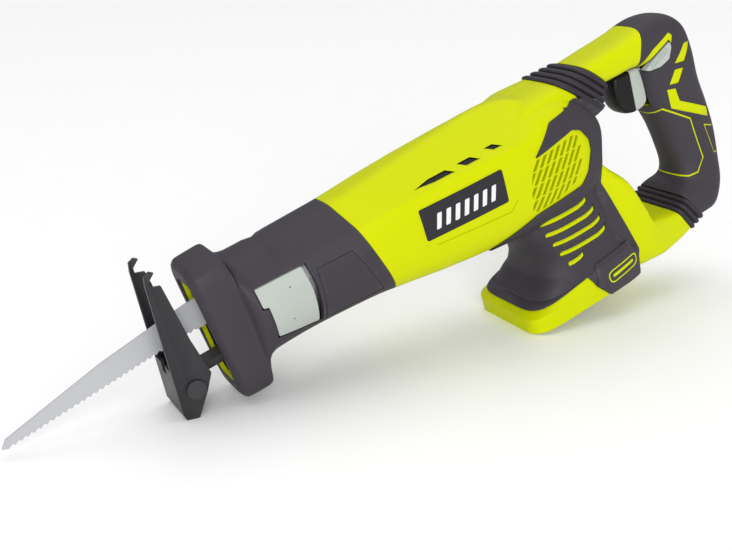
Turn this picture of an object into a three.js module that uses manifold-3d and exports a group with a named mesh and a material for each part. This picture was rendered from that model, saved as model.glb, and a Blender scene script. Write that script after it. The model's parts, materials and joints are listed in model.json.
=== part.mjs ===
// Cordless reciprocating saw with a stem-type battery foot and a rubber-mounted D handle.
//
// Saw frame, millimetres: X runs back along the barrel from the front of the collar, Y is across (the left
// side is -Y), Z is up. Every piece is made in that frame and then turned by STANCE, so that the saw stands
// on its shoe and the front edge of its battery foot, and the floor is Z = 0.
import * as THREE from "three";
import { mergeVertices } from "three/addons/utils/BufferGeometryUtils.js";
import Module from "manifold-3d";

const wasm = await Module();
wasm.setup();

// ---- driving dimensions ----
const STANCE = (17.3 * Math.PI) / 180;
const GAP = 0.35; // between pieces that rest on each other
const WALL = 2.6; // moulded shells
const SKIN = 1.3; // soft overmould on a shell
const SMOOTH = 0.03; // detail finer than this is dropped from the meshes
const SIDES = 16; // flats round a moulded skin
const INNER_SIDES = 8;
const STROKE = 22;
const AXIS_Z = 9; // height of the plunger above the barrel axis
const GEAR_X = 112; // drive gear axis
const GEAR_TEETH = 24;
const PINION_TEETH = 6;
const GEAR_MESH_R = 21.5; // radius at which the pinion runs on the gear face
const MOTOR_X = 152; // front face of the motor can
const MOTOR_LENGTH = 70;
const MOTOR_R = 25;
const FOOT_BOTTOM = -124;
const FOOT_FRONT = 213.5;
const FOOT_REAR = 325;
const FOOT_HALF = 40;

// ---- looks ----
const look = (color, roughness, metalness = 0) => ({ color, roughness, metalness });
const LOOKS = {
  lime: look("#d9e400", 0.45),
  grey: look("#4b474f", 0.75),
  rubber: look("#3c383f", 0.85),
  black: look("#1b1c1f", 0.6),
  pale: look("#bfc5be", 0.5),
  steel: look("#b9bcc0", 0.35, 1),
  dark_steel: look("#3a353b", 0.45, 1),
  blade: look("#dfe0e2", 0.3, 1),
  alloy: look("#a9acb0", 0.5, 1),
  copper: look("#b3703c", 0.4, 1),
  brass: look("#c2a24e", 0.4, 1),
  magnet: look("#2c2c30", 0.8),
};

// ---- solids ----
function solidOf(geometry) {
  const bare = geometry.index ? geometry.toNonIndexed() : geometry.clone();
  bare.deleteAttribute("normal");
  bare.deleteAttribute("uv");
  const merged = mergeVertices(bare, 1e-3);
  const positions = new Float32Array(merged.attributes.position.array);
  const indices = new Uint32Array(merged.index.array);
  const made = new wasm.Manifold(new wasm.Mesh({ numProp: 3, vertProperties: positions, triVerts: indices }));
  if (made.volume() > 0) return made;
  for (let i = 0; i < indices.length; i += 3) [indices[i], indices[i + 1]] = [indices[i + 1], indices[i]];
  return new wasm.Manifold(new wasm.Mesh({ numProp: 3, vertProperties: positions, triVerts: indices }));
}

const join = (first, ...rest) => rest.reduce((whole, part) => whole.add(part), first);
const cut = (first, ...rest) => rest.reduce((whole, part) => whole.subtract(part), first);
const common = (first, ...rest) => rest.reduce((whole, part) => whole.intersect(part), first);

function box(x0, x1, y0, y1, z0, z1) {
  const g = new THREE.BoxGeometry(x1 - x0, y1 - y0, z1 - z0);
  return solidOf(g.translate((x0 + x1) / 2, (y0 + y1) / 2, (z0 + z1) / 2));
}

// A cylinder between two places on one axis: "x", "y" or "z".
function rod(axis, from, to, radius, [a, b] = [0, 0], sides = 20) {
  const g = new THREE.CylinderGeometry(radius, radius, to - from, sides);
  const middle = (from + to) / 2;
  if (axis === "x") return solidOf(g.rotateZ(-Math.PI / 2).translate(middle, a, b));
  if (axis === "y") return solidOf(g.translate(a, middle, b));
  return solidOf(g.rotateX(Math.PI / 2).translate(a, b, middle));
}

function tube(axis, from, to, outer, inner, centre = [0, 0], sides = 24) {
  return cut(rod(axis, from, to, outer, centre, sides), rod(axis, from - 1, to + 1, inner, centre, sides));
}

// A side-view outline [x, z] given thickness across Y.
function plate(outline, y0, y1) {
  const shape = new THREE.Shape(outline.map(([x, z]) => new THREE.Vector2(x, z)));
  const g = new THREE.ExtrudeGeometry(shape, { depth: y1 - y0, bevelEnabled: false, curveSegments: 4 });
  return solidOf(g.rotateX(Math.PI / 2).translate(0, y1, 0));
}

// A skin through rounded sections. Each station is { top: [x, z], low: [x, z], half, power }: the two ends of
// the section in the side view, its half width, and how square it is (2 is round). grow moves the skin out.
function loft(stations, grow = 0, sides = SIDES) {
  const rings = stations.length - 1;
  const g = new THREE.CylinderGeometry(1, 1, 1, sides, rings);
  const place = g.attributes.position;
  for (let i = 0; i < place.count; i += 1) {
    const s = stations[Math.round((0.5 - place.getY(i)) * rings)];
    const across = new THREE.Vector2(s.top[0] - s.low[0], s.top[1] - s.low[1]);
    const reach = across.length() / 2 + grow;
    across.normalize();
    const power = 2 / (s.power ?? 2.6);
    const bend = (v) => Math.sign(v) * Math.abs(v) ** power;
    const side = bend(place.getX(i)) * (s.half + grow);
    const rise = bend(place.getZ(i)) * reach;
    const x = (s.top[0] + s.low[0]) / 2 + across.x * rise;
    const z = (s.top[1] + s.low[1]) / 2 + across.y * rise;
    place.setXYZ(i, x, side, z);
  }
  return solidOf(g);
}

// The same stations with the first and last moved outwards along the path, so that an inner skin or a
// cutter runs past the ends of the outer one.
function longer(stations, first, last) {
  const shifted = (s, t, by) => {
    const middle = (q) => [(q.top[0] + q.low[0]) / 2, (q.top[1] + q.low[1]) / 2];
    const [a, b] = [middle(s), middle(t)];
    const d = Math.hypot(a[0] - b[0], a[1] - b[1]);
    const move = ([x, z]) => [x + ((a[0] - b[0]) / d) * by, z + ((a[1] - b[1]) / d) * by];
    return { ...s, top: move(s.top), low: move(s.low) };
  };
  const n = stations.length;
  return [
    shifted(stations[0], stations[1], first),
    ...stations.slice(1, n - 1),
    shifted(stations[n - 1], stations[n - 2], last),
  ];
}

const HUGE = 900;
// The half of a solid on the side of a plane that its normal points to; the plane holds the point [x, 0, z].
function keepBeyond(body, normal, [x, z]) {
  const n = new THREE.Vector3(...normal).normalize();
  const g = new THREE.BoxGeometry(HUGE, HUGE, HUGE).translate(0, 0, HUGE / 2);
  g.applyQuaternion(new THREE.Quaternion().setFromUnitVectors(new THREE.Vector3(0, 0, 1), n));
  return common(body, solidOf(g.translate(x, 0, z)));
}
const leftOf = (body) => keepBeyond(body, [0, -1, 0], [0, 0]).translate([0, -GAP / 2, 0]);
const mirrored = (body) => body.mirror([0, 1, 0]);

// ---- skins of the housing ----
const BOOT = [
  { top: [22, 34], low: [22, -33], half: 25, power: 2 },
  { top: [25, 36.5], low: [25, -36], half: 32, power: 2 },
  { top: [30, 37], low: [30, -36.5], half: 36.5, power: 2 },
  { top: [70, 36.5], low: [70, -35], half: 37, power: 2.2 },
  { top: [106, 37], low: [106, -35.5], half: 38, power: 2.4 },
  { top: [135, 38.5], low: [135, -38.5], half: 40, power: 2.7 },
];
const BODY = [
  { top: [70, 36.5], low: [70, -35], half: 37, power: 2.2 },
  { top: [106, 37], low: [106, -35.5], half: 38, power: 2.4 },
  { top: [135, 38.5], low: [135, -38.5], half: 40, power: 2.7 },
  { top: [165, 40], low: [165, -43], half: 41.5, power: 3 },
  { top: [200, 41.5], low: [200, -47.5], half: 42.5, power: 3.1 },
  { top: [230, 43.5], low: [232, -51], half: 42.5, power: 3.1 },
  { top: [262, 41], low: [262, -53], half: 41.5, power: 3 },
  { top: [284, 37], low: [284, -54], half: 39.5, power: 3 },
  { top: [298, 29], low: [298, -52], half: 37, power: 3 },
  { top: [309, 18], low: [309, -45], half: 33, power: 3 },
  { top: [314, 8], low: [314, -36], half: 27, power: 2.8 },
];
const ARM = [
  { top: [236, 41], low: [244, 0], half: 34, power: 3 },
  { top: [266, 42.5], low: [284, 0], half: 29, power: 3 },
  { top: [296, 42], low: [332, 4], half: 24, power: 2.8 },
];
const POD = [
  { top: [304, -20], low: [230, -20], half: 32, power: 2.8 },
  { top: [312, -55], low: [235, -55], half: 34, power: 3 },
  { top: [319, -80], low: [242.5, -80], half: 33.5, power: 3 },
  { top: [323, -92], low: [238, -94], half: 34.5, power: 3.4 },
  { top: [FOOT_REAR, -98], low: [227, -104], half: 36.5, power: 4.5 },
  { top: [FOOT_REAR, -103.5], low: [FOOT_FRONT - 1, -112], half: FOOT_HALF, power: 6 },
  { top: [FOOT_REAR, FOOT_BOTTOM], low: [FOOT_FRONT - 1, FOOT_BOTTOM], half: FOOT_HALF, power: 6 },
];
const TAIL = [
  { top: [270, -30], low: [270, -120], half: 26, power: 3 },
  { top: [306, -24], low: [306, -122], half: 32, power: 3.4 },
  { top: [318, -37], low: [318, -123.5], half: 35, power: 4 },
  { top: [327, -49.5], low: [326, -125], half: 36, power: 5 },
  { top: [334.5, -69.5], low: [337, -125.5], half: 36, power: 5 },
  { top: [341.5, -88.5], low: [347, -126], half: 35, power: 5 },
  { top: [349, -94], low: [357, -126.2], half: 33, power: 5 },
  { top: [378, -103.5], low: [389, -123], half: 27.5, power: 5 },
];
// The handle runs back from the upper bellows, down the grip and forward to the lower bellows.
const HANDLE = [
  { top: [320, 42], low: [339, 20.5], half: 19.5, power: 2.8 },
  { top: [344, 43.5], low: [350, 20.5], half: 19, power: 2.8 },
  { top: [367, 45.5], low: [366, 20], half: 18.5, power: 2.8 },
  { top: [392, 49.5], low: [374, 15], half: 18.5, power: 2.8 },
  { top: [410, 45], low: [375.5, 7], half: 18.5, power: 2.8 },
  { top: [423.5, 33.5], low: [376, -1], half: 18.5, power: 2.8 },
  { top: [429.5, 15], low: [377, -10], half: 18.5, power: 2.7 },
  { top: [432.5, -12], low: [379.5, -21], half: 18, power: 2.5 },
  { top: [438, -38], low: [385, -37], half: 17.5, power: 2.4 },
  { top: [441.5, -60], low: [390, -58], half: 17.5, power: 2.4 },
  { top: [441, -84], low: [394, -78], half: 18.5, power: 2.6 },
  { top: [436, -106], low: [393, -86], half: 21.5, power: 3 },
  { top: [421, -120], low: [388, -90], half: 25, power: 3.8 },
  { top: [399.5, -119.3], low: [384.5, -93.8], half: 26.5, power: 5 },
];

const SEAM = { normal: [1, 0, 0.275], at: [114.3, 0] }; // slanted joint between the boot and the body
const ARM_CUT = { normal: [0.726, 0, 0.688], at: [308.5, 22] }; // where the upper bellows starts
const TAIL_CUT = { normal: [0.884, 0, 0.468], at: [378.2, -115] };
const moved = ({ normal, at }, by) => {
  const size = Math.hypot(...normal);
  return { normal, at: [at[0] + (normal[0] * by) / size, at[1] + (normal[2] * by) / size] };
};
const before = (body, { normal, at }) => keepBeyond(body, normal.map((v) => -v), at);
const beyond = (body, { normal, at }) => keepBeyond(body, normal, at);

function housingSkin(grow, sides = SIDES) {
  const inner = grow < 0;
  const arm = before(loft(longer(ARM, 0, inner ? 6 : 0), grow, sides), ARM_CUT);
  const trunk = join(loft(BODY, grow, sides), arm);
  const flatFront = { normal: [1, 0, 0], at: [FOOT_FRONT - grow, 0] };
  const foot = beyond(loft(longer(POD, 0, inner ? -2 * WALL : 0), grow, sides), flatFront);
  const tail = loft(longer(TAIL, 0, inner ? 6 : 0), grow, sides);
  return join(trunk, foot, tail);
}

// ---- features shared by several pieces ----
const SOCKET = { front: 247, rear: 300, half: 24, roof: -64 };
const SIDE_SLOTS = [
  [242, 285, -46],
  [246, 290, -56],
  [250, 294, -66],
  [254, 297, -76],
  [258, 272, -86],
];
const VENT_HEIGHTS = [26.5, 30];
const TOP_VENTS = [
  [157, 186],
  [191, 207],
  [217, 227],
];
const HOUSING_SCREWS = [
  { x: 162, z: 33.5 },
  { x: 212, z: 33.5 },
  { x: 162, z: -34 },
  { x: 306, z: -54 },
  { x: 344, z: -112 },
];
const HANDLE_SCREWS = [
  { x: 345, z: 32 },
  { x: 419, z: -30 },
  { x: 419, z: -98 },
];
const GRIP_LINE = { normal: [1, 0, -0.3], at: [373.5, 35] }; // where the neck ends and the overmould starts
const SCREW_R = 2;
const HEAD_R = 3.4;
const BOSS_R = 5;
const HEAD_Y = 11; // the heads sit here, in recesses on the right side
const HEAD_DEPTH = 3;
const BORE_END = -9.4;
const SCREW_SIDES = 8;

// Bosses across both halves, inside the given skin, with a hole and a head recess from the right side.
function withScrewHoles(shell, skin, screws) {
  let made = shell;
  for (const { x, z } of screws) {
    const boss = common(rod("y", -60, 60, BOSS_R, [x, z], SCREW_SIDES), skin);
    const bore = rod("y", BORE_END, 60, SCREW_R + GAP, [x, z], SCREW_SIDES);
    const recess = rod("y", HEAD_Y, 60, HEAD_R + GAP, [x, z], SCREW_SIDES);
    made = cut(join(made, boss), bore, recess);
  }
  return made;
}

function screw({ x, z }) {
  const shank = rod("y", BORE_END + GAP, HEAD_Y + 1, SCREW_R, [x, z], SCREW_SIDES);
  return join(shank, rod("y", HEAD_Y + GAP, HEAD_Y + HEAD_DEPTH, HEAD_R, [x, z], SCREW_SIDES));
}

// ---- housing ----
function housing() {
  const hollow = join(housingSkin(-WALL, INNER_SIDES), loft(longer(BODY, 6, -8), -WALL, INNER_SIDES));
  let shell = cut(housingSkin(0), hollow);
  shell = before(beyond(shell, moved(SEAM, GAP)), TAIL_CUT);
  const { front, rear, half, roof } = SOCKET;
  const lining = box(front - WALL, rear + WALL, -half - WALL, half + WALL, FOOT_BOTTOM - 5, roof + WALL);
  const floor = box(FOOT_FRONT, FOOT_REAR, -FOOT_HALF, FOOT_HALF, FOOT_BOTTOM, FOOT_BOTTOM + WALL);
  shell = join(shell, common(join(lining, floor), loft(POD, -0.5)));
  shell = cut(shell, box(front, rear, -half, half, FOOT_BOTTOM - 5, roof));
  for (const [x0, x1] of TOP_VENTS) {
    shell = cut(shell, box(x0, x1, -60, -30, ...VENT_HEIGHTS), box(x0, x1, 30, 60, ...VENT_HEIGHTS));
  }
  return shell;
}

const PATCH = [
  [246.5, 9.5], [267, 25.5], [300, 27], [322, 10], [322, -36], [303, -38], [321, -105], [317, -123.2],
  [283, -123.2], [272, -110], [268, -101], [205, -109.5], [212, -60], [199, -41.6], [238.3, -30.9],
  [280.8, -29.1], [289, -22], [297, -8.6], [297, 0], [290, 10], [284, 13],
];
const PATCH_LIFT = 1.1;
const SLOT_HALF = 1.2;
function sideOvermould() {
  const skin = cut(housingSkin(GAP + PATCH_LIFT), housingSkin(GAP));
  let made = common(skin, plate(PATCH, -60, -0.2));
  for (const [x0, x1, z] of SIDE_SLOTS) made = cut(made, box(x0, x1, -60, 0, z - SLOT_HALF, z + SLOT_HALF));
  return made;
}

function onSide(outline, low, high) {
  const skin = cut(housingSkin(high), housingSkin(low));
  return common(skin, plate(outline, -70, -20));
}

// ---- nose ----
const COLLAR = [
  { top: [-2, 43], low: [0, -51], half: 20.5, power: 4.5 },
  { top: [2, 46.5], low: [3, -54], half: 23.5, power: 4.5 },
  { top: [18, 46.5], low: [19, -53], half: 25.5, power: 4.5 },
  { top: [23, 43.5], low: [21.5, -50], half: 25, power: 4 },
];
const LEVER = [
  [31, 19.8], [64.4, 19.5], [63.8, -22], [46, -19], [34.5, -16.5], [34.5, 7], [31, 7.4],
];
const LEVER_POCKET = [
  [30.4, 20.5], [67.6, 20.3], [67, -23.4], [46, -20], [34, -17.4], [34, 6.3], [30.4, 6.7],
];
function frontBoot() {
  const outside = join(loft(COLLAR), loft(BOOT));
  const inside = join(loft(BOOT.slice(2), -3.4), loft(longer(BOOT.slice(4), 0, 6), -3.4));
  const mouth = join(
    loft([
      { top: [-2, 33], low: [-2, -41], half: 14, power: 6 },
      { top: [6, 33], low: [6, -41], half: 14, power: 6 },
    ], 0, 12),
    loft([
      { top: [3, 33], low: [3, -41], half: 18.2, power: 6 },
      { top: [40, 31], low: [40, -33], half: 18.2, power: 4 },
    ], 0, 12),
  );
  const sleeve = before(cut(outside, inside, mouth), SEAM);
  return cut(sleeve, plate(LEVER_POCKET, -50, -20));
}
function shoeLever() {
  const skin = cut(loft(BOOT, 0.2), loft(BOOT, -2.4));
  return common(skin, plate(LEVER, -50, -20));
}

const SHOE_PIVOT = [-25.1, -28.1];
const POST = { half: 7, low: -26, high: -21, rear: 82 };
function shoePost() {
  const bar = box(-16, POST.rear, -POST.half, POST.half, POST.low, POST.high);
  const eye = rod("y", -12.5, 12.5, 7, SHOE_PIVOT, 16);
  const web = box(SHOE_PIVOT[0], -12, -12.5, 12.5, POST.low, POST.high);
  return cut(join(bar, eye, web), rod("y", -20, 20, 3 + GAP, SHOE_PIVOT, 16));
}
function shoePin() {
  const near = rod("y", -19.2, -17 - GAP, 6.5, SHOE_PIVOT, 16);
  const far = rod("y", 17 + GAP, 19.2, 6.5, SHOE_PIVOT, 16);
  return join(rod("y", -18, 18, 3, SHOE_PIVOT, 16), near, far);
}
function shoe() {
  const side = [
    [-39.3, -41.3], [-38.5, -45.1], [-30.6, -48], [-18.6, -33.6], [-11.8, -23.4], [-15.2, 3.9], [-17.5, 45.6],
    [-23.7, 47.7], [-23.2, 51.5], [-18.2, 55.4], [-20.5, 57.2], [-24.6, 55.6], [-26.3, 50],
  ];
  const web = [
    [-34.8, -9.6], [-32.2, -9.6], [-36.6, -40.8], [-30, -45.4], [-30.6, -48], [-38.5, -45.1], [-39.3, -41.3],
  ];
  const body = join(plate(side, -17, -14.5), plate(side, 14.5, 17), plate(web, -16, 16));
  return cut(body, box(-50, -30, -4, 4, -16, 0), rod("y", -20, 20, 3 + GAP, SHOE_PIVOT, 16));
}

// ---- blade and clamp ----
const BLADE_HALF = 0.65;
const TEETH = 31;
const BLADE_TIP = [-142.4, -8.8];
const BLADE_HEEL = [-6, 0.2];
function blade() {
  const outline = [[26, 13.5], [26, 4.5], [8, 4.5], [4, 0.6], BLADE_HEEL];
  for (let i = 0; i < TEETH; i += 1) {
    const at = (t) => [
      BLADE_HEEL[0] + (BLADE_TIP[0] + 4 - BLADE_HEEL[0]) * t,
      BLADE_HEEL[1] + (BLADE_TIP[1] - BLADE_HEEL[1]) * t,
    ];
    const [rootX, rootZ] = at((i + 0.35) / TEETH);
    outline.push([rootX, rootZ + 1.5]);
    outline.push(at((i + 1) / TEETH));
  }
  outline.push([-142.4, -7.2], [-138, -2.4], [-68.7, 11.8], [-29.7, 17.1], [0.8, 20.6], [5, 20], [8, 13.5]);
  const hole = rod("y", -5, 5, 2, [17, AXIS_Z], 12);
  return cut(plate(outline, -BLADE_HALF, BLADE_HALF), hole);
}
const SHAFT_R = 7;
const CLAMP_R = 9.5;
const CLAMP_RING = [14.4, 28]; // stays inside the collar's chamber over the whole stroke
function plunger() {
  const shaft = rod("x", 10, GEAR_X - 5, SHAFT_R, [0, AXIS_Z], 20);
  const nose = rod("x", 9, 30, CLAMP_R, [0, AXIS_Z], 20);
  const yoke = box(GEAR_X - 9.5, GEAR_X + 9.5, -16.5, 16.5, 3, 15);
  const slot = box(GEAR_X - 4.4, GEAR_X + 4.4, -13.5, 13.5, 0, 20);
  const overPinion = box(GEAR_X + 4, GEAR_X + 20, -7.5, 7.5, 0, 7.2);
  const bladeSlot = box(0, 27, -BLADE_HALF - GAP, BLADE_HALF + GAP, 4, 14);
  return cut(join(shaft, nose, yoke), slot, overPinion, bladeSlot);
}
function clampCollar() {
  const [front, rear] = CLAMP_RING;
  let made = tube("x", front, rear, 16.5, CLAMP_R + GAP, [0, AXIS_Z], 24);
  for (let i = 0; i < 8; i += 1) {
    const a = (i * Math.PI) / 4;
    const grip = [17.2 * Math.cos(a), AXIS_Z + 17.2 * Math.sin(a)];
    made = cut(made, rod("x", front - 2, rear - 4, 1.6, grip, 8));
  }
  return made;
}

// ---- drive ----
const GEAR_TOP = -4.6;
function gearboxHousing() {
  const outside = join(rod("x", 40, 60, 24, [0, 3], 20), rod("x", 52, 146, 30.5, [0, 0], 24));
  const inside = rod("x", 56, 150, 27.8, [0, 0], 24);
  const guide = rod("x", 30, 60, 9.9, [0, AXIS_Z], 20);
  const channel = box(30, 70, -POST.half - GAP, POST.half + GAP, POST.low - GAP, POST.high + GAP);
  const keel = box(40, 56, -10, 10, POST.low - 3.4, POST.high + 6);
  return cut(join(outside, keel), inside, guide, channel);
}
function plungerBush() {
  return tube("x", 42, 62, 9.5, SHAFT_R + 0.3, [0, AXIS_Z], 20);
}
function gearSpindle() {
  return join(rod("z", -26.2, -5.6, 5, [GEAR_X, 0], 12), rod("z", -26.2, -19, 7, [GEAR_X, 0], 12));
}
function driveGear() {
  const disc = rod("z", -11, GEAR_TOP - 2.4, 24.8, [GEAR_X, 0], GEAR_TEETH);
  const hub = rod("z", -18, GEAR_TOP - 1.4, 9, [GEAR_X, 0], 16);
  let made = join(disc, hub);
  for (let i = 0; i < GEAR_TEETH; i += 1) {
    const tooth = solidOf(new THREE.BoxGeometry(6.2, 1.4, 3).translate(GEAR_MESH_R, 0, GEAR_TOP - 1.5));
    made = join(made, tooth.rotate([0, 0, ((i + 0.5) * 360) / GEAR_TEETH]).translate([GEAR_X, 0, 0]));
  }
  const bore = rod("z", -30, 0, 5 + GAP, [GEAR_X, 0], 16);
  return cut(made, bore, rod("z", -16, 0, 3 + GAP, [GEAR_X, STROKE / 2], 12));
}
// The pin stops just under the yoke, so that the gear and the plunger can each be moved alone.
const PIN_TOP = 1.6;
function crankPin() {
  const centre = [GEAR_X, STROKE / 2];
  return join(rod("z", -10.6, PIN_TOP, 3, centre, 12), rod("z", GEAR_TOP - 1, PIN_TOP, 3.9, centre, 12));
}
function pinion() {
  const [x0, x1] = [GEAR_X + GEAR_MESH_R - 3.5, GEAR_X + GEAR_MESH_R + 4.5];
  let made = rod("x", x0, x1, 4.4, [0, 0], 18);
  for (let i = 0; i < PINION_TEETH; i += 1) {
    const tooth = solidOf(new THREE.BoxGeometry(x1 - x0, 1.3, 3).translate((x0 + x1) / 2, 0, -4.6));
    made = join(made, tooth.rotate([(i * 360) / PINION_TEETH, 0, 0]));
  }
  return cut(made, rod("x", x0 - 1, x1 + 1, 2.5 + 0.3, [0, 0], 12));
}

// ---- motor ----
const MOTOR_END = MOTOR_X + MOTOR_LENGTH;
function motorCan() {
  const inside = rod("x", MOTOR_X + 2, MOTOR_END + 1, MOTOR_R - 2.4, [0, 0], 24);
  const shaftHole = rod("x", MOTOR_X - 1, MOTOR_X + 3, 8.4, [0, 0], 16);
  return cut(rod("x", MOTOR_X, MOTOR_END, MOTOR_R, [0, 0], 24), inside, shaftHole);
}
function magnet(turn) {
  const ring = tube("x", MOTOR_X + 6, MOTOR_X + 48, 22.1, 19.4, [0, 0], 24);
  const wedge = box(MOTOR_X, MOTOR_X + 60, -14, 14, 5, 30);
  return common(ring, wedge).rotate([turn, 0, 0]);
}
function armature() {
  let made = rod("x", MOTOR_X + 8, MOTOR_X + 46, 18.6, [0, 0], 20);
  for (let i = 0; i < 10; i += 1) {
    const slot = solidOf(new THREE.BoxGeometry(60, 1.6, 8).translate(MOTOR_X + 27, 0, 16.5));
    made = cut(made, slot.rotate([i * 36, 0, 0]));
  }
  return cut(made, rod("x", MOTOR_X, MOTOR_X + 60, 2.8, [0, 0], 12));
}
const commutator = () => tube("x", MOTOR_X + 52, MOTOR_X + 62, 8.5, 2.8, [0, 0], 20);
const motorShaft = () => rod("x", GEAR_X + GEAR_MESH_R - 4, MOTOR_END + 16, 2.5, [0, 0], 12);
const brush = (side) => {
  const made = box(MOTOR_X + 54, MOTOR_X + 60, -2.2, 2.2, 8.8, 17);
  return side > 0 ? made : made.rotate([180, 0, 0]);
};
const bearing = (x) => tube("x", x, x + 6, 8, 2.8, [0, 0], 20);
function motorPlate() {
  return tube("x", MOTOR_X - 5.6, MOTOR_X - 0.4, 30.5, 8.4, [0, 0], 20);
}
function motorEndCap() {
  return tube("x", MOTOR_END + 0.4, MOTOR_END + 7, 24, 8.4, [0, 0], 24);
}
const FAN_VANES = 8;
function fan() {
  let made = tube("x", MOTOR_END + 8, MOTOR_END + 9.6, 24.5, 2.8, [0, 0], 24);
  made = join(made, tube("x", MOTOR_END + 8, MOTOR_END + 15, 6, 2.8, [0, 0], 16));
  for (let i = 0; i < FAN_VANES; i += 1) {
    const vane = solidOf(new THREE.BoxGeometry(6, 1.4, 19.5).translate(MOTOR_END + 12, 0, 14.5));
    made = join(made, vane.rotate([(i * 360) / FAN_VANES, 0, 0]));
  }
  return made;
}

// ---- battery contacts ----
const terminalBlock = () => box(250, 282, -12, 12, SOCKET.roof - 7, SOCKET.roof - GAP);
const terminal = (y) => box(256, 276, y - 0.6, y + 0.6, SOCKET.roof - 18, SOCKET.roof - 7 - GAP);

// ---- rubber bellows ----
function bellows(first, last, ribs, out, inset) {
  const steps = 2 * ribs;
  const at = (t, grow) => {
    const mix = (a, b) => a + (b - a) * t;
    const top = [mix(first.top[0], last.top[0]), mix(first.top[1], last.top[1])];
    const low = [mix(first.low[0], last.low[0]), mix(first.low[1], last.low[1])];
    const size = Math.hypot(top[0] - low[0], top[1] - low[1]);
    const u = [(top[0] - low[0]) / size, (top[1] - low[1]) / size];
    return {
      top: [top[0] + u[0] * grow, top[1] + u[1] * grow],
      low: [low[0] - u[0] * grow, low[1] - u[1] * grow],
      half: mix(first.half, last.half) + grow,
      power: mix(first.power, last.power),
    };
  };
  const outside = [];
  for (let i = 0; i <= steps; i += 1) outside.push(at(i / steps, i % 2 ? -0.6 : out));
  const hole = [at(-0.4, -inset), at(1.4, -inset)];
  return cut(loft(outside), loft(hole, 0, INNER_SIDES));
}
const UPPER = [
  { top: [293.5, 42], low: [329.5, 5], half: 24.5, power: 2.8 },
  { top: [317.5, 42], low: [337, 20.8], half: 20, power: 2.8 },
];
const LOWER = [
  { top: [373.8, -102], low: [385.7, -124.6], half: 27.5, power: 5 },
  { top: [384.5, -95.8], low: [397.2, -119.2], half: 27, power: 5 },
];

// ---- handle ----
function handleCore() {
  const outer = loft(HANDLE, -SKIN - GAP);
  const inner = loft(longer(HANDLE, 4, 4), -SKIN - GAP - WALL, INNER_SIDES);
  const neck = before(cut(loft(HANDLE.slice(0, 4), 0), loft(HANDLE.slice(0, 5), -SKIN - GAP - 1)), GRIP_LINE);
  return join(cut(outer, inner), neck);
}
function gripSkin() {
  return beyond(cut(loft(HANDLE, 0), loft(longer(HANDLE, 1, 1), -SKIN)), moved(GRIP_LINE, GAP));
}
const TRIGGER_SLOT = () => box(362, 386, -9, 9, -17.2, 18.6);
const BUTTON = [
  [372.5, 16.6], [386, 22.6], [400, 28], [401, 23.5], [397, 15.5], [388, 13.2], [377, 14.4],
];
const BUTTON_MIDDLE = [389.5, 20.4];
const STEM_R = 3;
const grown = (outline, by) => outline.map(([x, z]) => {
  const size = Math.hypot(x - BUTTON_MIDDLE[0], z - BUTTON_MIDDLE[1]);
  return [x + ((x - BUTTON_MIDDLE[0]) * by) / size, z + ((z - BUTTON_MIDDLE[1]) * by) / size];
});
function handleOpenings(shell) {
  return cut(shell, TRIGGER_SLOT(), plate(grown(BUTTON, 1.3), -60, 60));
}
function lockButton() {
  const stem = rod("y", -16, 16, STEM_R, BUTTON_MIDDLE, 12);
  return join(plate(BUTTON, -19, -14.5), plate(BUTTON, 14.5, 19), stem);
}
const TRIGGER_SPLIT = 366.5;
const TRIGGER = [
  [352, 17], [379.5, 17], [379.5, -12], [374, -16.4], [363, -15.8], [356, -12.3], [351.5, -5], [350, 4],
  [350, 12],
];
const trigger = () => common(plate(TRIGGER, -8.4, 8.4), box(TRIGGER_SPLIT, 400, -20, 20, -30, 30));
const triggerPad = () => common(
  join(plate(TRIGGER, -7, 7), common(plate(TRIGGER, -8.8, 8.8), box(354, 400, -20, 20, -30, 30))),
  box(300, TRIGGER_SPLIT - GAP, -20, 20, -30, 30),
);
const switchBody = () => box(388, 410, -9.5, 9.5, -16, 12);

// ---- the assembly ----
const saw = new THREE.Group();
const largest = (solid) => solid.decompose().reduce((a, b) => (a.volume() > b.volume() ? a : b));
function piece(name, solid, finish) {
  const mesh = largest(solid).simplify(SMOOTH).getMesh();
  const geometry = new THREE.BufferGeometry();
  geometry.setAttribute("position", new THREE.BufferAttribute(mesh.vertProperties, 3));
  geometry.setIndex(new THREE.BufferAttribute(mesh.triVerts, 1));
  geometry.computeVertexNormals();
  const made = new THREE.Mesh(geometry, new THREE.MeshStandardMaterial(LOOKS[finish]));
  made.name = name;
  saw.add(made);
}
// The left half of a shell and its mirror, each with its share of the screw bosses.
function halves(shell, skin, screws) {
  const left = leftOf(shell);
  const leftSkin = leftOf(skin);
  return [
    withScrewHoles(left, leftSkin, screws),
    withScrewHoles(mirrored(left), mirrored(leftSkin), screws),
  ];
}

const [housingLeft, housingRight] = halves(housing(), housingSkin(-0.5), HOUSING_SCREWS);
piece("housing_left", housingLeft, "lime");
piece("housing_right", housingRight, "lime");
const patch = sideOvermould();
piece("overmould_left", patch, "grey");
piece("overmould_right", mirrored(patch), "grey");
const NAME_PLATE = [[150, 17.4], [217, 15.7], [216.3, -8.5], [149.6, -5.5]];
const namePlate = onSide(NAME_PLATE, GAP, 1.1);
piece("name_plate_left", namePlate, "grey");
piece("name_plate_right", mirrored(namePlate), "grey");
const BADGE = [
  [281, -103], [283, -101], [308, -98.5], [311, -101], [311, -109], [309, -112], [285, -115], [282, -113],
];
const badge = onSide(BADGE, GAP + PATCH_LIFT + GAP, GAP + PATCH_LIFT + 2 * GAP + 0.4);
piece("badge_left", badge, "lime");
piece("badge_right", mirrored(badge), "lime");

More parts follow.
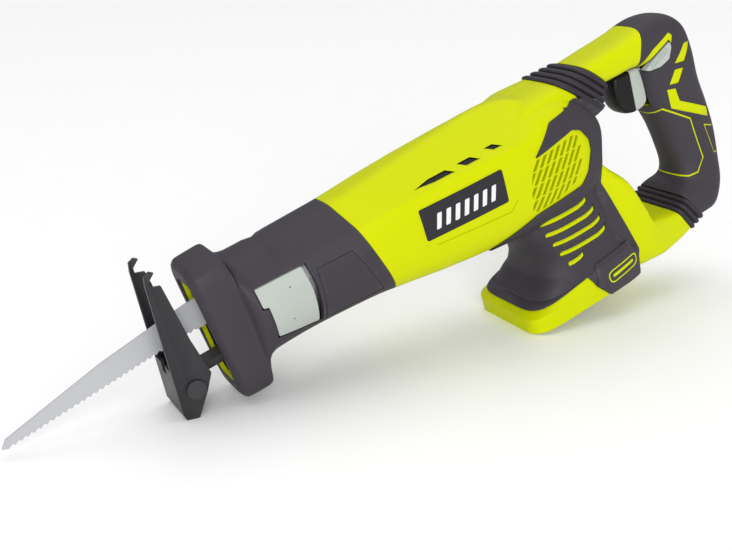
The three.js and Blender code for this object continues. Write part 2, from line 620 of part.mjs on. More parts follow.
piece("front_boot", frontBoot(), "grey");
piece("shoe_lever", shoeLever(), "pale");
piece("shoe_post", shoePost(), "dark_steel");
piece("shoe_pin", shoePin(), "dark_steel");
piece("shoe", shoe(), "dark_steel");
piece("blade", blade(), "blade");
piece("plunger", plunger(), "steel");
piece("clamp_collar", clampCollar(), "lime");

piece("gearbox_housing", gearboxHousing(), "alloy");
piece("plunger_bush", plungerBush(), "brass");
piece("gear_spindle", gearSpindle(), "steel");
piece("drive_gear", driveGear(), "steel");
piece("crank_pin", crankPin(), "steel");
piece("pinion", pinion(), "steel");
piece("motor_plate", motorPlate(), "alloy");
piece("motor_can", motorCan(), "steel");
piece("motor_end_cap", motorEndCap(), "black");
piece("magnet_upper", magnet(0), "magnet");
piece("magnet_lower", magnet(180), "magnet");
piece("motor_shaft", motorShaft(), "steel");
piece("armature", armature(), "copper");
piece("commutator", commutator(), "copper");
piece("brush_upper", brush(1), "magnet");
piece("brush_lower", brush(-1), "magnet");
piece("fan", fan(), "black");
piece("bearing_front", bearing(MOTOR_X - 5.5), "steel");
piece("bearing_rear", bearing(MOTOR_END + 0.7), "steel");

piece("terminal_block", terminalBlock(), "black");
piece("terminal_left", terminal(-7), "brass");
piece("terminal_middle", terminal(0), "brass");
piece("terminal_right", terminal(7), "brass");

piece("upper_bellows", bellows(UPPER[0], UPPER[1], 3, 2, 4.5), "rubber");
piece("lower_bellows", bellows(LOWER[0], LOWER[1], 2, 2, 4.5), "rubber");

const handleSkin = loft(HANDLE, -SKIN - GAP - 0.4);
const [handleLeft, handleRight] = halves(handleOpenings(handleCore()), handleSkin, HANDLE_SCREWS);
piece("handle_left", handleLeft, "lime");
piece("handle_right", handleRight, "lime");
const grip = leftOf(handleOpenings(gripSkin()));
const screwAccess = HANDLE_SCREWS.slice(1).map(({ x, z }) => rod("y", 0, 60, HEAD_R + GAP, [x, z], 10));
piece("grip_left", grip, "grey");
piece("grip_right", cut(mirrored(grip), ...screwAccess), "grey");
piece("switch_body", switchBody(), "black");
piece("trigger", trigger(), "pale");
piece("trigger_pad", triggerPad(), "black");
piece("lock_button", lockButton(), "pale");

HOUSING_SCREWS.forEach((s, i) => piece(`housing_screw_${i + 1}`, screw(s), "steel"));
HANDLE_SCREWS.forEach((s, i) => piece(`handle_screw_${i + 1}`, screw(s), "steel"));

// Turned onto its feet, then moved so that the middle of its base is the origin.
saw.rotation.y = -STANCE;
const root = new THREE.Group();
root.add(saw);
root.updateMatrixWorld(true);
const extent = new THREE.Box3().setFromObject(saw, true);
saw.position.set(-(extent.min.x + extent.max.x) / 2, -(extent.min.y + extent.max.y) / 2, -extent.min.z);
export default root;
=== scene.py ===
"""Cordless reciprocating saw: its visible surfaces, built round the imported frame.

Shapes are made in the saw's own frame, in millimetres: X runs back along the barrel from the front of the
collar, Y is across (the left side is -Y), Z is up. SAW_TO_ROW turns and scales them into the row frame.
"""
import json
import math

import bmesh
import bpy
import numpy as np
from mathutils import Matrix, Vector


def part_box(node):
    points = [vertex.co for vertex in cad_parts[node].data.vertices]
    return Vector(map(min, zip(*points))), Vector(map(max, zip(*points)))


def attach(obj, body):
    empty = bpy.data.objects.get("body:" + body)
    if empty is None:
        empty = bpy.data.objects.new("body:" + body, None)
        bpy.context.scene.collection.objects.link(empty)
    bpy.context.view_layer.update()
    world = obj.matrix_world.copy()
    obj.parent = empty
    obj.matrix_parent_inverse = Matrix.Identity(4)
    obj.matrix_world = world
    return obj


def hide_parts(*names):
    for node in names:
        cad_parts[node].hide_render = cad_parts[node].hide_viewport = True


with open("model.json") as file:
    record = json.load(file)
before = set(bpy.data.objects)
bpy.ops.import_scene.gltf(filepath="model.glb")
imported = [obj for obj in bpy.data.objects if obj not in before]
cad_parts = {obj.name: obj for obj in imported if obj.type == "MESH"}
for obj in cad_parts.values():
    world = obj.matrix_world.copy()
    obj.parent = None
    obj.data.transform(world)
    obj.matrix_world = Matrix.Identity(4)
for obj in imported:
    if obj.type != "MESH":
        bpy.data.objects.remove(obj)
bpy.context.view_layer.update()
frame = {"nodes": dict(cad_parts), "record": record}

# ---- frame ----
MM = 0.001
STANCE = math.radians(17.3)
MOTOR_MIDDLE = Vector((187, 0, 0))
TURN = Matrix.Rotation(-STANCE, 4, "Y")
can_low, can_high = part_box("motor_can")
TO_MOTOR = Matrix.Translation((can_low + can_high) / 2)
SAW_TO_ROW = TO_MOTOR @ TURN @ Matrix.Scale(MM, 4) @ Matrix.Translation(-MOTOR_MIDDLE)

# ---- camera, in the saw's own frame ----
LENS = 49.18
SENSOR = 36
CAMERA_PLACE = Vector((-107.9, -574, 290.4))
CAMERA_RIGHT = Vector((0.8216, -0.486, -0.2979))
CAMERA_BACK = Vector((-0.3238, -0.828, 0.4578))


def make_camera():
    data = bpy.data.cameras.new("camera")
    data.sensor_width = SENSOR
    data.lens = LENS
    data.clip_start = 0.01
    camera = bpy.data.objects.new("camera", data)
    bpy.context.scene.collection.objects.link(camera)
    right = CAMERA_RIGHT.normalized()
    back = CAMERA_BACK.normalized()
    up = back.cross(right).normalized()
    turn = Matrix((right, up, back)).transposed().to_4x4()
    place = SAW_TO_ROW @ CAMERA_PLACE
    camera.matrix_world = Matrix.Translation(place) @ TURN @ turn
    bpy.context.scene.camera = camera


make_camera()


# ---- materials ----
def srgb(red, green, blue):
    """A screen colour (0 to 255) as the linear colour that shaders use."""
    out = []
    for value in (red, green, blue):
        v = value / 255
        out.append(v / 12.92 if v <= 0.04045 else ((v + 0.055) / 1.055) ** 2.4)
    return (*out, 1)


BLOTCHES = 28  # broad patches per metre
GLOSS_SPREAD = 0.08
EDGE_PALING_FROM, EDGE_PALING_TO = 0.53, 0.62  # pointiness at which edges start to turn paler, and at which they are fully paler: partly wear, partly a painted highlight


def new_node(made, kind, sockets=()):
    """A node added to the material, with its own sockets set."""
    node = made.node_tree.nodes.new("ShaderNode" + kind)
    for name, value in dict(sockets).items():
        node.inputs[name].default_value = value
    return node


def worn_and_highlit_edges(made, plain, color, wear):
    """The plain colour, a little paler on sharp edges: partly rubbed wear, partly a painted highlight."""
    link = made.node_tree.links.new
    shape = new_node(made, "NewGeometry")
    edge_paling = new_node(made, "MapRange", {"From Min": EDGE_PALING_FROM, "From Max": EDGE_PALING_TO, "To Max": wear})
    link(shape.outputs["Pointiness"], edge_paling.inputs["Value"])
    mix = new_node(made, "Mix")
    mix.data_type = "RGBA"
    link(edge_paling.outputs["Result"], mix.inputs["Factor"])
    link(plain, mix.inputs["A"])
    # the pale colour of the edges: partly wear, partly a painted highlight
    mix.inputs["B"].default_value = [min(1, 0.1 + 1.5 * c) for c in color[:3]] + [1]
    return mix.outputs["Result"]


def finish_material(
    name, color, roughness, metal=0.0, grain=0.35, depth=0.03, vary=0.06, stretch=(1, 1, 1),
    round_edges=0.35, wear=0.0, specular=0.4,
):
    """A moulded, cast or brushed surface. grain is the texture's size and depth its height, both in mm. The
    edge setting makes sharp edges paler, partly as wear and partly as a painted highlight.
    """
    made = bpy.data.materials.new(name)
    made.use_nodes = True
    link = made.node_tree.links.new
    shader = made.node_tree.nodes["Principled BSDF"]
    shader.inputs["Metallic"].default_value = metal
    shader.inputs["Specular IOR Level"].default_value = specular
    where = new_node(made, "TexCoord")
    scaled = new_node(made, "Mapping", {"Scale": stretch})
    link(where.outputs["Object"], scaled.inputs["Vector"])
    fine = new_node(made, "TexNoise", {"Scale": 1 / (grain * MM), "Detail": 3})
    link(scaled.outputs["Vector"], fine.inputs["Vector"])
    broad = new_node(made, "TexNoise", {"Scale": BLOTCHES, "Detail": 5})
    link(scaled.outputs["Vector"], broad.inputs["Vector"])

    tone = new_node(made, "MapRange", {"To Min": 1 - vary, "To Max": 1 + vary})
    link(broad.outputs["Fac"], tone.inputs["Value"])
    tint = new_node(made, "VectorMath")
    tint.operation = "SCALE"
    tint.inputs[0].default_value = color[:3]
    link(tone.outputs["Result"], tint.inputs["Scale"])
    last = tint.outputs["Vector"]
    # sharp edges made paler: partly wear, partly a painted highlight
    if wear:
        last = worn_and_highlit_edges(made, last, color, wear)
    link(last, shader.inputs["Base Color"])

    smooth, rough = roughness - GLOSS_SPREAD, roughness + GLOSS_SPREAD
    gloss = new_node(made, "MapRange", {"To Min": smooth, "To Max": rough})
    link(broad.outputs["Fac"], gloss.inputs["Value"])
    link(gloss.outputs["Result"], shader.inputs["Roughness"])

    bump = new_node(made, "Bump", {"Strength": 0.6, "Distance": depth * MM})
    link(fine.outputs["Fac"], bump.inputs["Height"])
    if round_edges:
        rounded = new_node(made, "Bevel", {"Radius": round_edges * MM})
        rounded.samples = 4
        link(rounded.outputs["Normal"], bump.inputs["Normal"])
    link(bump.outputs["Normal"], shader.inputs["Normal"])
    return made


LOOKS = {}


def add_look(name, color, roughness, **more):
    LOOKS[name] = finish_material(name, srgb(*color), roughness, **more)


add_look("lime_plastic", (187, 196, 0), 0.45, depth=0.012, vary=0.02, specular=0.08)
# the grey overmould and bellows rubber make their sharp edges paler: partly wear, partly a painted highlight
add_look("grey_overmould", (51, 47, 54), 0.6, grain=0.5, depth=0.05, wear=0.2, specular=0.3)
add_look("bellows_rubber", (43, 39, 46), 0.65, grain=0.6, depth=0.06, wear=0.2, specular=0.3)
add_look("black_plastic", (12, 12, 14), 0.45, grain=0.4, specular=0.25)
add_look("pale_plastic", (164, 170, 164), 0.5, grain=0.4, vary=0.03)
add_look("plate_face", (40, 38, 43), 0.5, grain=0.4, depth=0.02, specular=0.2)
add_look("bright_steel", (185, 188, 192), 0.3, metal=1, depth=0.008, stretch=(0.05, 1, 1))
# paler sharp edges on the blackened steel: partly wear, partly a painted highlight
add_look("blackened_steel", (30, 27, 31), 0.4, metal=0.1, grain=0.7, depth=0.04, wear=0.25, specular=0.25)
add_look(
    "blade_steel", (182, 183, 187), 0.42, metal=0.5, grain=0.25, depth=0.012, stretch=(0.04, 1, 1),
    round_edges=0,
)
add_look("cast_alloy", (169, 172, 176), 0.5, metal=1, grain=1.2, depth=0.1, vary=0.1)
add_look("copper", (179, 112, 60), 0.4, metal=1, depth=0.1, stretch=(0.05, 1, 1))
add_look("brass", (194, 162, 78), 0.35, metal=1, depth=0.02)
add_look("magnet", (44, 44, 48), 0.8, grain=0.8, depth=0.05)
add_look("white_print", (212, 213, 212), 0.5, depth=0.01, vary=0.02)
SLOT_OF = {part["node"]: part["material_slot"] for part in frame["record"]["subparts"]}


# ---- solids ----
def new_object(name, points, faces):
    mesh = bpy.data.meshes.new(name)
    mesh.from_pydata([tuple(p) for p in points], [], faces)
    made = bpy.data.objects.new(name, mesh)
    bpy.context.scene.collection.objects.link(made)
    shape = bmesh.new()
    shape.from_mesh(mesh)
    bmesh.ops.recalc_face_normals(shape, faces=shape.faces)
    shape.to_mesh(mesh)
    shape.free()
    return made


def copy_of(obj):
    made = bpy.data.objects.new(obj.name, obj.data.copy())
    bpy.context.scene.collection.objects.link(made)
    return made


def drop(*objs):
    for obj in objs:
        bpy.data.objects.remove(obj)


def apply_modifiers(obj):
    graph = bpy.context.evaluated_depsgraph_get()
    graph.update()
    baked = bpy.data.meshes.new_from_object(obj.evaluated_get(graph))
    obj.modifiers.clear()
    obj.data = baked
    return obj


def combine(how, base, *others, keep=False):
    for other in others:
        step = base.modifiers.new("step", "BOOLEAN")
        step.operation = how
        step.solver = "MANIFOLD"
        step.object = other
        apply_modifiers(base)
    if not keep:
        drop(*others)
    return base


def join(base, *others, keep=False):
    return combine("UNION", base, *others, keep=keep)


def cut(base, *others, keep=False):
    return combine("DIFFERENCE", base, *others, keep=keep)


def common(base, *others, keep=False):
    return combine("INTERSECT", base, *others, keep=keep)


def ring_faces(rings, n):
    """Faces of a closed skin through rings of n points each, with a cap on the first and the last."""
    faces = [tuple(range(n)), tuple(range(rings * n - 1, (rings - 1) * n - 1, -1))]
    for j in range(rings - 1):
        for i in range(n):
            k = (i + 1) % n
            faces.append((j * n + i, j * n + k, (j + 1) * n + k, (j + 1) * n + i))
    return faces


def prism(outline, y0, y1):
    """A side-view outline [(x, z)] given thickness across Y."""
    points = [(x, y, z) for y in (y0, y1) for x, z in outline]
    return new_object("prism", points, ring_faces(2, len(outline)))


def block(x0, x1, y0, y1, z0, z1):
    return prism([(x0, z0), (x1, z0), (x1, z1), (x0, z1)], y0, y1)


def rod(y0, y1, radius, at, sides=48):
    """A round bar across Y, centred on the point (x, z)."""
    outline = []
    for i in range(sides):
        angle = i * math.tau / sides
        outline.append((at[0] + radius * math.cos(angle), at[1] + radius * math.sin(angle)))
    return prism(outline, y0, y1)


def softened(outline, radius, steps=4):
    """The outline with its corners rounded."""
    out = []
    n = len(outline)
    for i in range(n):
        before, here, after = (Vector(outline[(i + k) % n]) for k in (-1, 0, 1))
        a = here + (before - here).normalized() * min(radius, (before - here).length / 2.2)
        b = here + (after - here).normalized() * min(radius, (after - here).length / 2.2)
        for k in range(steps + 1):
            t = k / steps
            p = a * (1 - t) ** 2 + here * 2 * t * (1 - t) + b * t**2
            out.append((p.x, p.y))
    return out


def inset(outline, by):
    """The outline with its edges moved in."""
    n = len(outline)
    area = 0
    for (ax, az), (bx, bz) in zip(outline, outline[1:] + outline[:1]):
        area += ax * bz - bx * az
    turn = 1 if area > 0 else -1
    out = []
    for i in range(n):
        before, here, after = (Vector(outline[(i + k) % n]) for k in (-1, 0, 1))
        a, b = (here - before).normalized(), (after - here).normalized()
        na, nb = Vector((-a.y, a.x)) * turn, Vector((-b.y, b.x)) * turn
        both = na + nb
        p = here + both * (by / max(0.35, both.dot(na)))
        out.append((p.x, p.y))
    return out


HUGE = 900
LEFT_WALL = (-60, -20)  # across the left wall of a shell
LEFT_HALF = (-60, -5)
ACROSS = (-60, 60)


def beyond(obj, normal, at, keep_above=True):
    """What lies on the side of a plane that its normal points to. The plane holds the point (x, 0, z)."""
    n = Vector(normal).normalized()
    if not keep_above:
        n = -n
    cube = block(-HUGE, HUGE, -HUGE, HUGE, 0, HUGE)
    turn = Vector((0, 0, 1)).rotation_difference(n).to_matrix().to_4x4()
    cube.data.transform(Matrix.Translation((at[0], 0, at[1])) @ turn)
    return common(obj, cube)


def refine(rows, per, soft):
    """More stations between the given ones, on smooth curves."""
    rows = np.array(rows, float)
    middle = (rows[:, 0:2] + rows[:, 2:4]) / 2
    along = np.concatenate([[0], np.cumsum(np.linalg.norm(np.diff(middle, axis=0), axis=1))])
    slope = np.diff(rows, axis=0) / np.diff(along)[:, None]
    tangent = np.vstack([slope[:1], slope[1:], slope[-1:]])
    for i in range(1, len(rows) - 1):
        a, b = slope[i - 1], slope[i]
        even = (a + b) / 2
        steady = np.where(a * b > 0, 2 * a * b / np.where(a * b > 0, a + b, 1), 0)
        tangent[i] = even if soft else steady
    out = []
    for i in range(len(rows) - 1):
        h = along[i + 1] - along[i]
        for k in range(per):
            t = k / per
            out.append(
                rows[i] * (2 * t**3 - 3 * t**2 + 1) + tangent[i] * h * (t**3 - 2 * t**2 + t)
                + rows[i + 1] * (3 * t**2 - 2 * t**3) + tangent[i + 1] * h * (t**3 - t**2)
            )
    out.append(rows[-1])
    return out


SLOPE_ANGLE = math.radians(60)
CREASE_SHARPNESS = 90
NO_RIDGE = 500


def loft(rows, grow=0, per=6, sides=96, soft=False):
    """A skin through rounded sections (top x, z, low x, z, half width, squareness, ridge). Above the height
    ridge, each upper corner is a flat slope; with no ridge the corners are round."""
    angles = np.arange(sides) * math.tau / sides
    c, s = np.cos(angles), np.sin(angles)
    points = []
    fine = refine([row if len(row) == 7 else (*row, NO_RIDGE) for row in rows], per, soft)
    for top_x, top_z, low_x, low_z, half, power, ridge in fine:
        across = Vector((top_x - low_x, top_z - low_z))
        reach = across.length / 2 + grow
        across.normalize()
        r = ((np.abs(c) / (half + grow)) ** power + (np.abs(s) / reach) ** power) ** (-1 / power)
        mid_x, mid_z = (top_x + low_x) / 2, (top_z + low_z) / 2
        level = (ridge - mid_z) / (across.y * across.length or 1)
        if 0 < level < reach - grow:
            width = half * (1 - (level / (reach - grow)) ** power) ** (1 / power)
            shoulder = width * math.cos(SLOPE_ANGLE) + level * math.sin(SLOPE_ANGLE)
            facing = np.maximum(math.cos(SLOPE_ANGLE) * np.abs(c) + math.sin(SLOPE_ANGLE) * s, 1e-3)
            flat = (shoulder + grow) / facing
            r = (r**-CREASE_SHARPNESS + flat**-CREASE_SHARPNESS) ** (-1 / CREASE_SHARPNESS)
        for i in range(sides):
            rise = r[i] * s[i]
            points.append((mid_x + across.x * rise, r[i] * c[i], mid_z + across.y * rise))
    return new_object("loft", points, ring_faces(len(fine), sides))


def melted(obj, size, rounds):
    """One even skin over joined lofts, with their inner corners filled in like a moulding's."""
    skin = obj.modifiers.new("skin", "REMESH")
    skin.mode = "VOXEL"
    skin.voxel_size = size
    calm = obj.modifiers.new("calm", "SMOOTH")
    calm.factor = 0.5
    calm.iterations = rounds
    return apply_modifiers(obj)


def swollen(obj, by):
    """A copy with every point moved out along its normal."""
    made = copy_of(obj)
    count = len(made.data.vertices)
    place, normal = np.zeros(count * 3, np.float32), np.zeros(count * 3, np.float32)
    made.data.vertices.foreach_get("co", place)
    made.data.vertex_normals.foreach_get("vector", normal)
    made.data.vertices.foreach_set("co", place + normal * by)
    made.data.update()
    return made


def mirrored(obj):
    made = copy_of(obj)
    made.data.transform(Matrix.Scale(-1, 4, (0, 1, 0)))
    made.data.flip_normals()
    return made


def between(skin, low, high):
    """The layer from low to high above a skin, or under it where they are negative."""
    return cut(swollen(skin, high), swollen(skin, low))


def line_strip(path, width):
    """Outlines of the straight pieces of a drawn line."""
    out = []
    for (ax, az), (bx, bz) in zip(path, path[1:]):
        along = Vector((bx - ax, bz - az)).normalized()
        side = Vector((-along.y, along.x)) * width / 2
        a, b = Vector((ax, az)) - along * width / 2, Vector((bx, bz)) + along * width / 2
        out.append([tuple(a + side), tuple(b + side), tuple(b - side), tuple(a - side)])
    return out


def drawn(path, width, y0, y1):
    strips = [prism(outline, y0, y1) for outline in line_strip(path, width)]
    return join(strips[0], *strips[1:]) if len(strips) > 1 else strips[0]


def show(obj, name, look, body="casing", stands_for=(), crease=32):
    """Makes a finished shape a piece of the object: in the row frame, on its body, in its material."""
    obj.name = name
    obj.data.name = name
    obj.data.transform(SAW_TO_ROW)
    for face in obj.data.polygons:
        face.use_smooth = True
    obj.data.set_sharp_from_angle(angle=math.radians(crease))
    obj.data.materials.clear()
    obj.data.materials.append(LOOKS[look])
    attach(obj, body)
    if stands_for:
        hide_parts(*stands_for)
    return obj


def both_sides(obj, name, look, nodes=True):
    """The left piece and its mirror image."""
    other = mirrored(obj)
    for shape, side in ((obj, "left"), (other, "right")):
        show(shape, f"{name}_{side}_skin", look, stands_for=[f"{name}_{side}"] if nodes else ())


# ---- stations: the frame's own shells, but with a rounder rear end on the body ----
GAP = 0.35
WALL = 2.6
SHARP = 17  # degrees: ridges of the long shells stay crisp
FOOT_FRONT = 213.5
FOOT_BOTTOM = -124
FOOT_REAR = 325
NOSE = [
    (-2, 42, 0, -49.5, 19, 5), (-1, 43.6, 0.8, -51.4, 20.6, 6), (2.6, 46.2, 3.6, -53.7, 23.6, 7),
    (18, 46.5, 19, -53, 25.8, 7), (20.6, 46, 21, -52.4, 26, 7), (22.6, 44.6, 22.4, -50.4, 26.6, 6),
    (23.8, 41, 23.4, -45, 28.5, 4.5), (25.6, 38.5, 25.4, -39.4, 32, 3), (29, 37.3, 29, -37, 35, 2.3),
    (34, 37, 34, -36.3, 36.2, 2.05),
]
BARREL = [
    (42, 37, 42, -36, 36.9, 2, 40), (70, 37, 70, -35, 37, 2.2, 30), (106, 38.4, 106, -35.5, 38.3, 2.6, 24.5),
    (135, 40.6, 135, -38.5, 40.3, 2.9, 24.5),
]
BODY = [
    *BARREL[1:], (165, 42.9, 165, -43, 41.8, 3.1, 24.5), (200, 45, 200, -47.5, 42.8, 3.1, 24.5),
    (230, 46.5, 232, -51, 42.8, 3.1, 24.5), (252, 45, 252, -52.5, 42.2, 3.1, 25.5),
    (264, 42, 264, -53, 41.5, 3.1, 31), (284, 37.5, 284, -53, 39.5, 3.2, 34),
    (297, 31, 295, -50, 37, 3.2, 60), (309, 20, 303, -44, 33.5, 3.2, 60), (317.5, 9, 308, -36, 27.5, 3, 60),
]
ARM = [(246, 34, 250, 0, 31, 4), (266, 41.5, 284, 0, 29, 4), (296, 42, 332, 4, 24, 3.6)]
POD = [
    (304, -20, 230, -20, 32, 2.8), (312, -55, 235, -55, 34, 3), (319, -80, 242.5, -80, 33.5, 3),
    (322, -90, 239.5, -92, 34, 3.4), (323, -94, 232, -100, 35.3, 4.2), (323, -99, 226, -107, 37, 4.5),
]
FOOT = [
    (FOOT_REAR - 1, -97, 223, -106.5, 37.5, 4.8), (FOOT_REAR, -101, FOOT_FRONT - 1, -112, 40, 6),
    (FOOT_REAR, -126, FOOT_FRONT - 1, -126, 40, 6),
]
TAIL = [
    (270, -30, 270, -120, 26, 3), (306, -22, 306, -122, 32, 4), (317, -36, 318, -123.5, 35, 6),
    (327, -49.5, 326, -125, 36, 8), (334.5, -69.5, 337, -125.5, 36, 8), (341.5, -89, 347, -126, 35, 8),
    (349, -93.8, 357, -126.2, 33, 8), (378, -103.5, 389, -123, 27.5, 7),
]
HANDLE = [
    (320, 42, 339, 20.5, 19.5, 3.2), (344, 43.5, 350, 20.5, 19, 3.8), (367, 45.5, 366, 20, 18.5, 3.8),
    (392, 49.5, 374, 15, 18.5, 2.8), (410, 45, 375.5, 7, 18.5, 2.8), (423.5, 33.5, 376, -1, 18.5, 2.8),
    (429.5, 15, 377, -10, 18.5, 2.7), (432.5, -12, 379.5, -21, 18, 2.5), (438, -38, 385, -37, 17.5, 2.4),
    (441, -60, 390, -58, 17.5, 2.4), (439.5, -84, 393.5, -77, 18.5, 2.6), (434, -106, 393, -86, 21.5, 3.2),
    (420, -120, 386, -89.5, 25, 4.2), (399.5, -119.3, 383, -93.5, 26.5, 6),
]
SEAM = ((1, 0, 0.275), (114.3, 0))
SEAM_BEHIND = ((1, 0, 0.275), (114.3 + GAP, 0))
ARM_CUT = ((0.726, 0, 0.688), (308.5, 22))
TAIL_CUT = ((0.884, 0, 0.468), (378.2, -115))
GRIP_LINE = ((1, 0, -0.3), (373.5, 35))
GRIP_START = ((1, 0, -0.3), (373.9, 35))
CORE_END = ((0.843, 0, 0.539), (385, -93.5))
SOCKET = (247, 300, 24, -64)  # front, rear, half width, roof
VENTS = [
    [(155, 28), (168, 29.5), (182, 29.6), (187.5, 26.9), (171, 26.9)],
    [(191.5, 29.6), (202.5, 29.6), (208, 26.8), (197, 26.8)],
    [(215, 29.9), (222, 29.9), (227.5, 27.2), (220.5, 27.2)],
]
HOUSING_SCREWS = [(162, 33.5), (212, 33.5), (162, -34), (306, -54), (344, -112)]
POD_SCREW = HOUSING_SCREWS[3]
HANDLE_SCREWS = [(345, 32), (419, -30), (419, -98)]
HEAD_Y = 11
HEAD_R = 3.4


def screw_recess(at):
    return rod(HEAD_Y, 70, HEAD_R + GAP, at, 32)


def right_half(x0, seam):
    """A block over the right half of the saw behind x0, that starts a little left of the mid-plane."""
    return block(x0, 500, -seam, 80, -200, 200)


# ---- housing ----
SKIN_VOXEL = 1.15
SKIN_ROUNDS = 8


def filleted(crisp):
    """The crisp shape with its inner corners filled, and the melted skin that shows where it stands proud."""
    soft = melted(copy_of(crisp), SKIN_VOXEL, SKIN_ROUNDS)
    return join(crisp, swollen(soft, -0.3)), soft


def housing_body():
    return filleted(join(loft(BODY), loft(ARM), loft(POD), loft(FOOT, per=1), loft(TAIL, per=4)))


def flattened(obj):
    """Cuts the skin where it meets its neighbours, and squares the front of the foot."""
    obj = beyond(obj, *SEAM_BEHIND)
    obj = beyond(obj, *ARM_CUT, keep_above=False)
    obj = beyond(obj, *TAIL_CUT, keep_above=False)
    return cut(obj, block(190, FOOT_FRONT, *ACROSS, -160, -85))


def foot_flat(obj, bottom=FOOT_BOTTOM):
    return cut(obj, block(190, 345, *ACROSS, -160, bottom))


GRILLE = [(243, 8.6), (285, 11), (294, -4), (281, -23), (259, -29), (233, -31), (236, -8)]
LOUVRE_ROWS = 4
LOUVRE_COLUMNS = 10
LOUVRE_FRONT = 222
LOUVRE_TOP = 9.9
LOUVRE_PITCH = 6.3
LOUVRE_ROW = 9.9
LOUVRE_HEIGHT = 8.7
LOUVRE_WIDTH = 3.1
LOUVRE_LEAN = 0.85
LOUVRE_STAGGER = 1.5


def louvres():
    """Rows of narrow gaps, each leaning back at its top, with a slat of plastic between each two."""
    region = inset(GRILLE, 1)
    gaps = []
    for row in range(LOUVRE_ROWS):
        high = LOUVRE_TOP - row * LOUVRE_ROW
        low = high - LOUVRE_HEIGHT
        lean = LOUVRE_HEIGHT * LOUVRE_LEAN
        for column in range(LOUVRE_COLUMNS):
            x = LOUVRE_FRONT + column * LOUVRE_PITCH - row * LOUVRE_STAGGER
            foot = [(x, low), (x + LOUVRE_WIDTH, low)]
            head = [(x + LOUVRE_WIDTH + lean, high), (x + lean, high)]
            gaps.append(prism(foot + head, *LEFT_WALL))
    return common(join(gaps[0], *gaps[1:]), prism(region, *LEFT_WALL))


SLOTS = [(242, 285, -46), (246, 290, -56), (250, 294, -66), (254, 297, -76), (258, 272, -86)]
SLOT_HALF = 1.6
SLOT_BEND = 9
SLOT_DROP = 2.6
PATCH = [
    (245.5, 9.8), (266.6, 26.3), (300, 28), (330, 14), (320, -13), (309.5, -28), (303, -40), (321, -105),
    (317, -124), (283, -124), (272.5, -111), (268, -101), (205, -109.5), (212, -60), (199, -41.6),
    (238.3, -30.9), (280.8, -29.1), (289, -22), (296, -8.6), (296, 0), (290, 10), (282, 14),
]
WEDGE = [(316.4, -123.4), (283, -124), (273, -111.2), (277, -96), (313, -93)]
NAME_PLATE = [(150, 17.4), (217.3, 15.7), (216.3, -8.5), (149.6, -5.5)]
BADGE = [(283, -105), (313.5, -101.5), (314, -112), (285, -116)]
SIDE_CREASE = [(157, -11.4), (217, -17.2), (223, -12)]


def slot_shape(x0, x1, z, half):
    """One slot, level along most of its length and bent up at its rear end."""
    run = [(x0, 0), (x1 - SLOT_BEND, 0), (x1 - 3, 1.1), (x1, SLOT_DROP)]
    upper = [(x, z + half + rise) for x, rise in run]
    lower = [(x, z - half + rise) for x, rise in reversed(run)]
    return upper + lower


def socket_walls(soft):
    """The box round the battery socket, inside the skin."""
    front, rear, half, roof = SOCKET
    lining = block(front - WALL, rear + WALL, -half - WALL, half + WALL, FOOT_BOTTOM, roof + WALL)
    return common(lining, swollen(soft, -0.5))


def hollow_shell(body, soft):
    """The skin as a wall of even thickness, with the socket open underneath."""
    outer = foot_flat(flattened(copy_of(body)))
    inner = foot_flat(swollen(soft, -WALL), FOOT_BOTTOM + WALL)
    shell = join(cut(outer, inner), socket_walls(soft))
    drop(soft)
    front, rear, half, roof = SOCKET
    return cut(shell, block(front, rear, -half, half, FOOT_BOTTOM - 5, roof))


def make_housing():
    body, soft = housing_body()
    left = cut(hollow_shell(body, soft), right_half(0, 0.15))
    for outline in VENTS:
        left = cut(left, prism(outline, -60, -26))
    left = cut(left, louvres())
    half = SLOT_HALF - 0.3
    bars = [prism(slot_shape(x0 + 0.5, x1 - 0.5, z - 0.5, half), *LEFT_HALF) for x0, x1, z in SLOTS]
    left = join(left, common(join(bars[0], *bars[1:]), between(body, -0.6, 0.7)))
    left = cut(left, common(drawn(SIDE_CREASE, 0.9, -60, -30), between(body, -0.55, 2)))

    right = mirrored(left)
    for at in HOUSING_SCREWS:
        boss = common(rod(HEAD_Y - 3, 70, HEAD_R + 1.6, at, 32), body, keep=True)
        right = cut(join(right, boss), screw_recess(at))
    show(left, "housing_left_skin", "lime_plastic", stands_for=["housing_left"], crease=SHARP)
    show(right, "housing_right_skin", "lime_plastic", stands_for=["housing_right"], crease=SHARP)
    return body


def make_patches(body):
    """The grey overmould of each side, with slots, a shallow groove over each and a raised wedge."""
    patch = common(between(body, 0.05, 1.35), prism(softened(PATCH, 1.5), -60, -0.15))
    slots = [prism(slot_shape(x0, x1, z, SLOT_HALF), *LEFT_HALF) for x0, x1, z in SLOTS]
    patch = cut(patch, *slots)
    grooves = [prism(slot_shape(x0 + 1, x1, z + 2.3, SLOT_HALF), *LEFT_HALF) for x0, x1, z in SLOTS]
    patch = cut(patch, common(join(grooves[0], *grooves[1:]), between(body, 0.45, 3)))
    patch = foot_flat(patch)
    raised = common(between(body, 1.2, 2.3), prism(softened(WEDGE, 1.5), *LEFT_WALL))
    patch = join(patch, foot_flat(raised))
    right = cut(mirrored(patch), screw_recess(POD_SCREW))
    show(patch, "overmould_left_skin", "grey_overmould", stands_for=["overmould_left"])
    show(right, "overmould_right_skin", "grey_overmould", stands_for=["overmould_right"])


MARK_BARS = 7
MARK_START = (160, 4.6)
MARK_STEP = (7.4, -0.28)


